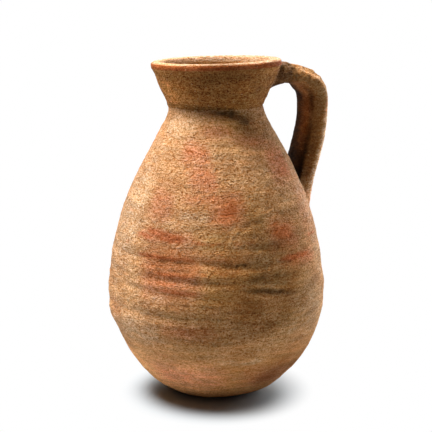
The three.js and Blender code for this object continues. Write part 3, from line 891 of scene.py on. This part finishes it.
def pigments(tree, place, deep, pale, stray_red, smooth_low, uneven):
    """The clay's own colour with the slips, sooting and staining on it, and the painted highlights and shade
    that these marks also carry, before its grain.
    """
    broad = spread(tree, pattern(tree, place, "broad"), 0.34, 0.66)
    colour = mix_colours(tree, broad, deep, pale)
    colour = laid_over(tree, colour, smooth_low, 0.65, LOW_ORANGE)
    colour = coated(tree, place, colour, UNDER_COATS)
    flecks = spread(tree, pattern(tree, place, "stray_red"), 0.58, 0.74, 0.0, stray_red)
    colour = mix_colours(tree, flecks, colour, RED_IRON)
    colour = coated(tree, place, colour, TOP_COATS)
    for name, lets_through in TINTS.items():
        share = combine(tree, "MULTIPLY", attribute(tree, name), uneven)
        colour = mix_colours(tree, share, colour, mix_colours(tree, 1.0, colour, lets_through, "MULTIPLY"))
    return shade(tree, colour, spread(tree, pattern(tree, place, "wipes"), 0.32, 0.68, 0.84, 1.14))


def new_material(name, specular):
    material = bpy.data.materials.new(name)
    material.use_nodes = True
    shader = material.node_tree.nodes["Principled BSDF"]
    shader.inputs["Specular IOR Level"].default_value = specular
    return material, material.node_tree, shader


def clay_material(name):
    """Fired clay in object space, steered by the marks of the mesh that it is on."""
    deep, pale, grain, low_zone, stray_red = CLAYS[name]
    material, tree, shader = new_material(name, CLAY_SPECULAR)
    place = add_node(tree, "ShaderNodeTexCoord").outputs["Object"]
    height = add_node(tree, "ShaderNodeSeparateXYZ", None, {"Vector": place}).outputs["Z"]
    warped = combine(tree, "MULTIPLY_ADD", pattern(tree, place, "zone_edge"), LOW_ZONE_WARP, height)
    smooth_low = spread(tree, warped, *LOW_ZONE, 0.0, low_zone)
    uneven = spread(tree, pattern(tree, place, "uneven"), 0.3, 0.7, 0.55, 1.25)

    strokes = pattern(tree, place, "strokes")
    grains = pattern(tree, place, "grains")
    grain_level = combine(tree, "ADD", spread(tree, strokes, 0.34, 0.66, -0.17, 0.15),
                          spread(tree, grains, 0.36, 0.64, -0.26, 0.22))
    calm = combine(tree, "MULTIPLY_ADD", smooth_low, -0.32, 1.0)
    calm = combine(tree, "MULTIPLY", calm, combine(tree, "SUBTRACT", 1.0, attribute(tree, "worn")))
    grain_depth = combine(tree, "MULTIPLY", calm, grain)
    pits = combine(tree, "MAXIMUM", scattered_spots(tree, place, *PITS),
                   scattered_spots(tree, place, *SMALL_PITS))
    pits = combine(tree, "MULTIPLY", pits, grain_depth)
    grits = scattered_spots(tree, place, *GRITS)

    colour = pigments(tree, place, deep, pale, stray_red, smooth_low, uneven)
    colour = warm_shade(tree, colour, combine(tree, "MULTIPLY_ADD", grain_level, grain_depth, 1.0))
    colour = laid_over(tree, colour, grits, 0.3, PALE_GRIT)
    colour = warm_shade(tree, colour, combine(tree, "MULTIPLY_ADD", pits, -0.38, 1.0))
    # Painted shade in the recesses.
    colour = shade(tree, colour, combine(tree, "MULTIPLY_ADD", attribute(tree, "recess_shade"), -0.6, 1.0))
    # Tone that is partly painted light and shade, in doublings of the colour.
    doublings = combine(tree, "MULTIPLY", attribute(tree, "tone_light_and_shade"), uneven)
    colour = shade(tree, colour, combine(tree, "POWER", 2.0, doublings))
    tree.links.new(colour, shader.inputs["Base Color"])

    relief = combine(tree, "MULTIPLY_ADD", strokes, 0.75, combine(tree, "MULTIPLY", grains, 0.55))
    relief = combine(tree, "ADD", relief, combine(tree, "MULTIPLY", pattern(tree, place, "fine"), 0.25))
    relief = combine(tree, "MULTIPLY_ADD", pits, -0.35, relief)
    relief = combine(tree, "MULTIPLY_ADD", grits, 0.15, relief)
    relief = combine(tree, "MULTIPLY", relief, grain_depth)
    bump_map = add_node(tree, "ShaderNodeBump", None, {"Height": relief, "Distance": MM, "Strength": 0.9})
    tree.links.new(bump_map.outputs[0], shader.inputs["Normal"])
    tree.links.new(spread(tree, grains, 0.3, 0.7, 0.84, 0.97), shader.inputs["Roughness"])
    return material


# Objects and their meshes
def add_object(name, data):
    thing = bpy.data.objects.new(name, data)
    bpy.context.scene.collection.objects.link(thing)
    return thing


def skin(rings, normals, capped):
    """Points, normals, quads and triangles over rings, whose ends are capped with a fan or else joined."""
    rows, count = rings.shape[:2]
    index = np.arange(rows * count).reshape(rows, count)
    lower = index[:-1] if capped else index
    upper = index[1:] if capped else np.roll(index, -1, axis=0)
    quads = np.stack([lower, np.roll(lower, -1, axis=1), np.roll(upper, -1, axis=1), upper], axis=-1)
    points, point_normals = rings.reshape(-1, 3), normals.reshape(-1, 3)
    fans = np.zeros((0, 3), int)
    if capped:
        first, last = len(points), len(points) + 1
        nexts = np.roll(index, -1, axis=1)
        start_fan = np.stack([np.full(count, first), nexts[0], index[0]], axis=-1)
        end_fan = np.stack([np.full(count, last), index[-1], nexts[-1]], axis=-1)
        fans = np.vstack([start_fan, end_fan])
        points = np.vstack([points, rings[0].mean(axis=0), rings[-1].mean(axis=0)])
        middle_normals = np.stack([normals[0].mean(axis=0), normals[-1].mean(axis=0)])
        point_normals = np.vstack([point_normals, unit(middle_normals)])
    return points, point_normals, quads.reshape(-1, 4), fans


def add_mesh(name, rings, normals, material, capped, marks):
    points, point_normals, quads, fans = skin(rings, normals, capped)
    corners = np.concatenate([quads.ravel(), fans.ravel()])
    totals = np.concatenate([np.full(len(quads), 4), np.full(len(fans), 3)])
    mesh = bpy.data.meshes.new(name)
    mesh.vertices.add(len(points))
    mesh.vertices.foreach_set("co", (points * MM).ravel())
    mesh.loops.add(len(corners))
    mesh.loops.foreach_set("vertex_index", corners)
    mesh.polygons.add(len(totals))
    mesh.polygons.foreach_set("loop_start", np.concatenate([[0], np.cumsum(totals)[:-1]]))
    mesh.polygons.foreach_set("loop_total", totals)
    mesh.update(calc_edges=True)
    mesh.validate()
    mesh.polygons.foreach_set("use_smooth", np.ones(len(totals), bool))
    mesh.normals_split_custom_set(point_normals[corners])
    for mark, values in marks.items():
        padded = np.zeros(len(points))
        padded[:values.size] = values.ravel()
        mesh.attributes.new(mark, "FLOAT", "POINT").data.foreach_set("value", padded)
    mesh.materials.append(material)
    return add_object(name, mesh)


def add_part(node, slot, grid, marks, rows, capped):
    """The piece that stands for one node: some rows of a grid, with that slot's clay."""
    normals = grid_normals(grid)
    own = {mark: values[rows] for mark, values in marks.items()}
    piece = add_mesh("jug_" + node, grid[rows], normals[rows], clays[slot], capped, own)
    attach(piece, "root")
    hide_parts(node)


def add_vessel():
    grid, marks = vessel_grid()
    low_rows = np.r_[1:seam_out + 1, seam_in:len(grid) - 1]
    high_rows = np.r_[seam_out:throat_out + 1, throat_in:seam_in + 1]
    add_part("lower_body", "body_clay", grid, marks, low_rows, True)
    add_part("upper_body", "body_clay", grid, marks, high_rows, False)
    add_part("neck", "neck_clay", grid, marks, slice(throat_out, throat_in + 1), False)


def add_strap():
    path, away = strap_path()
    grid = strap_grid(path, away)
    marks = strap_marks(path, away, grid)
    root_end = int(np.argmax(path[:, 0] > ROOT_SMEAR_REACH))
    foot_start = int(np.argmax(path[:, 1] < FOOT_SMEAR_HEIGHT))
    add_part("handle_root_luting", "luting_clay", grid, marks, slice(0, root_end + 1), True)
    add_part("handle", "handle_clay", grid, marks, slice(root_end, foot_start + 1), True)
    add_part("handle_foot_luting", "luting_clay", grid, marks, slice(foot_start, len(grid)), True)


def add_neck_coil():
    share = np.linspace(0.0, 1.0, COIL_ROWS)
    height = THROAT_HEIGHT + (share - 0.5) * COIL_WIDTH
    neck_height = lip_points()[-1, 1] - THROAT_HEIGHT
    flare = RIM_RADIUS - LIP_THICKNESS - THROAT_RADIUS + WALL_THICKNESS
    below = wall_radius(height) - WALL_THICKNESS
    above = THROAT_RADIUS - WALL_THICKNESS + (height - THROAT_HEIGHT) / neck_height * flare
    inside = np.where(height < THROAT_HEIGHT, below, above)
    front = np.stack([inside - COIL_THICKNESS * np.sin(share * math.pi) ** COIL_BLUNTNESS, height], axis=1)
    back = np.stack([inside + COIL_SUNK, height], axis=1)
    rings = turned(np.vstack([back, front[::-1]]), COIL_COUNT)
    rings = rings + grid_normals(rings) * (0.5 * roughness_of_clay(rings))[..., None]
    rings[..., 2] += lean(rings[..., 0], rings[..., 2])
    add_part("neck_luting_coil", "luting_clay", rings, {}, slice(None), False)


# Studio lamps: azimuth from the front toward the picture's right, angle above the table, distance and size in
# metres, power. They look at a point on the axis, whose height is in metres too.
LAMPS = [
    ("key_lamp", -100, 70, 1.3, (0.5, 0.5), 17.5),
    ("front_key_lamp", -60, 70, 1.3, (0.5, 0.5), 16),
    ("back_lamp", 180, 30, 1.3, (0.9, 0.9), 11),
    ("side_lamp", 150, 25, 1.3, (0.35, 0.8), 16.5),
    ("edge_lamp", 125, 8, 1.3, (0.35, 0.8), 8.5),
]
LAMPS_LOOK_AT = 0.12
WORLD_LIGHT = 0.03

# Floor, in metres: the camera sees it fade into plain white outside an oval round the jug's shadow
FLOOR_HALF = 6.0
FLOOR_COLOUR = (0.45, 0.50, 0.55)
FLOOR_SEEN = (0.42, 0.485, 0.53)
FLOOR_FADE_CENTRE = (0.0, -0.0046)
FLOOR_FADE_REACH = (0.076, 0.087)
FLOOR_FADE_START = 0.56


def picture_axes():
    angle = math.radians(HANDLE_BEHIND)
    right = np.array([math.cos(angle), -math.sin(angle), 0.0])
    ahead = np.array([math.sin(angle), math.cos(angle), 0.0])
    return right, ahead


def add_camera():
    right, ahead = picture_axes()
    camera = add_object("camera", bpy.data.cameras.new("camera"))
    camera.data.sensor_width = SENSOR_WIDTH
    camera.data.lens = FOCAL_PIXELS / IMAGE_PIXELS * SENSOR_WIDTH
    camera.data.clip_start = CLIP_START * MM
    pitch = math.radians(CAMERA_PITCH)
    look = ahead * math.cos(pitch) - np.array([0.0, 0.0, math.sin(pitch)])
    turn = Matrix((right, np.cross(right, look), -look)).transposed().to_4x4()
    place = -ahead * CAMERA_DISTANCE + np.array([0.0, 0.0, CAMERA_HEIGHT])
    camera.matrix_world = Matrix.Translation(Vector(place * MM)) @ turn
    bpy.context.scene.camera = camera


def add_lamp(name, azimuth, elevation, distance, size, power):
    right, ahead = picture_axes()
    turn, rise = math.radians(azimuth), math.radians(elevation)
    level = Vector(right * math.sin(turn) - ahead * math.cos(turn)) * math.cos(rise)
    where = (level + Vector((0.0, 0.0, math.sin(rise)))) * distance
    lamp = add_object(name, bpy.data.lights.new(name, "AREA"))
    lamp.data.shape = "RECTANGLE"
    lamp.data.size, lamp.data.size_y = size
    lamp.data.energy = power
    lamp.location = where + Vector((0.0, 0.0, LAMPS_LOOK_AT))
    lamp.rotation_euler = (-where).to_track_quat("-Z", "Y").to_euler()


def add_world():
    """Weak even light, which the camera and reflections see as plain white."""
    world = bpy.data.worlds.new("studio")
    bpy.context.scene.world = world
    world.use_nodes = True
    tree = world.node_tree
    background = tree.nodes["Background"]
    paths = add_node(tree, "ShaderNodeLightPath")
    seen = combine(tree, "MAXIMUM", paths.outputs["Is Camera Ray"], paths.outputs["Is Glossy Ray"])
    levels = {"Value": seen, "To Min": WORLD_LIGHT, "To Max": 1.0}
    strength = add_node(tree, "ShaderNodeMapRange", None, levels)
    tree.links.new(strength.outputs[0], background.inputs["Strength"])
    background.inputs["Color"].default_value = (1.0, 1.0, 1.0, 1.0)


def floor_material():
    material, tree, shader = new_material("floor", 0.0)
    shader.inputs["Roughness"].default_value = 1.0
    seen = add_node(tree, "ShaderNodeLightPath").outputs["Is Camera Ray"]
    tree.links.new(mix_colours(tree, seen, FLOOR_COLOUR, FLOOR_SEEN), shader.inputs["Base Color"])
    place = add_node(tree, "ShaderNodeTexCoord").outputs["Object"]
    turn = (0.0, 0.0, math.radians(HANDLE_BEHIND))
    place = add_node(tree, "ShaderNodeMapping", {"vector_type": "POINT"},
                     {"Vector": place, "Rotation": turn}).outputs[0]
    for operation, value in ("SUBTRACT", (*FLOOR_FADE_CENTRE, 0.0)), ("DIVIDE", (*FLOOR_FADE_REACH, 1.0)):
        step = add_node(tree, "ShaderNodeVectorMath", {"operation": operation}, {0: place, 1: value})
        place = step.outputs[0]
    distance = add_node(tree, "ShaderNodeVectorMath", {"operation": "LENGTH"}, {0: place}).outputs["Value"]
    fade = combine(tree, "MULTIPLY", spread(tree, distance, FLOOR_FADE_START, 1.0), seen)
    white = add_node(tree, "ShaderNodeEmission", None, {"Color": (1.0, 1.0, 1.0), "Strength": 1.0})
    blend = add_node(tree, "ShaderNodeMixShader", None, {0: fade, 1: shader.outputs[0], 2: white.outputs[0]})
    tree.links.new(blend.outputs[0], tree.nodes["Material Output"].inputs["Surface"])
    return material


def add_floor():
    mesh = bpy.data.meshes.new("floor")
    corners = [(-FLOOR_HALF, -FLOOR_HALF, 0), (FLOOR_HALF, -FLOOR_HALF, 0),
               (FLOOR_HALF, FLOOR_HALF, 0), (-FLOOR_HALF, FLOOR_HALF, 0)]
    mesh.from_pydata(corners, [], [(0, 1, 2, 3)])
    mesh.materials.append(floor_material())
    floor = add_object("floor", mesh)


bpy.context.scene.view_settings.view_transform = "Standard"
add_camera()
add_world()
add_floor()
for lamp in LAMPS:
    add_lamp(*lamp)

clays = {name: clay_material(name) for name in CLAYS}
add_vessel()
add_strap()
add_neck_coil()
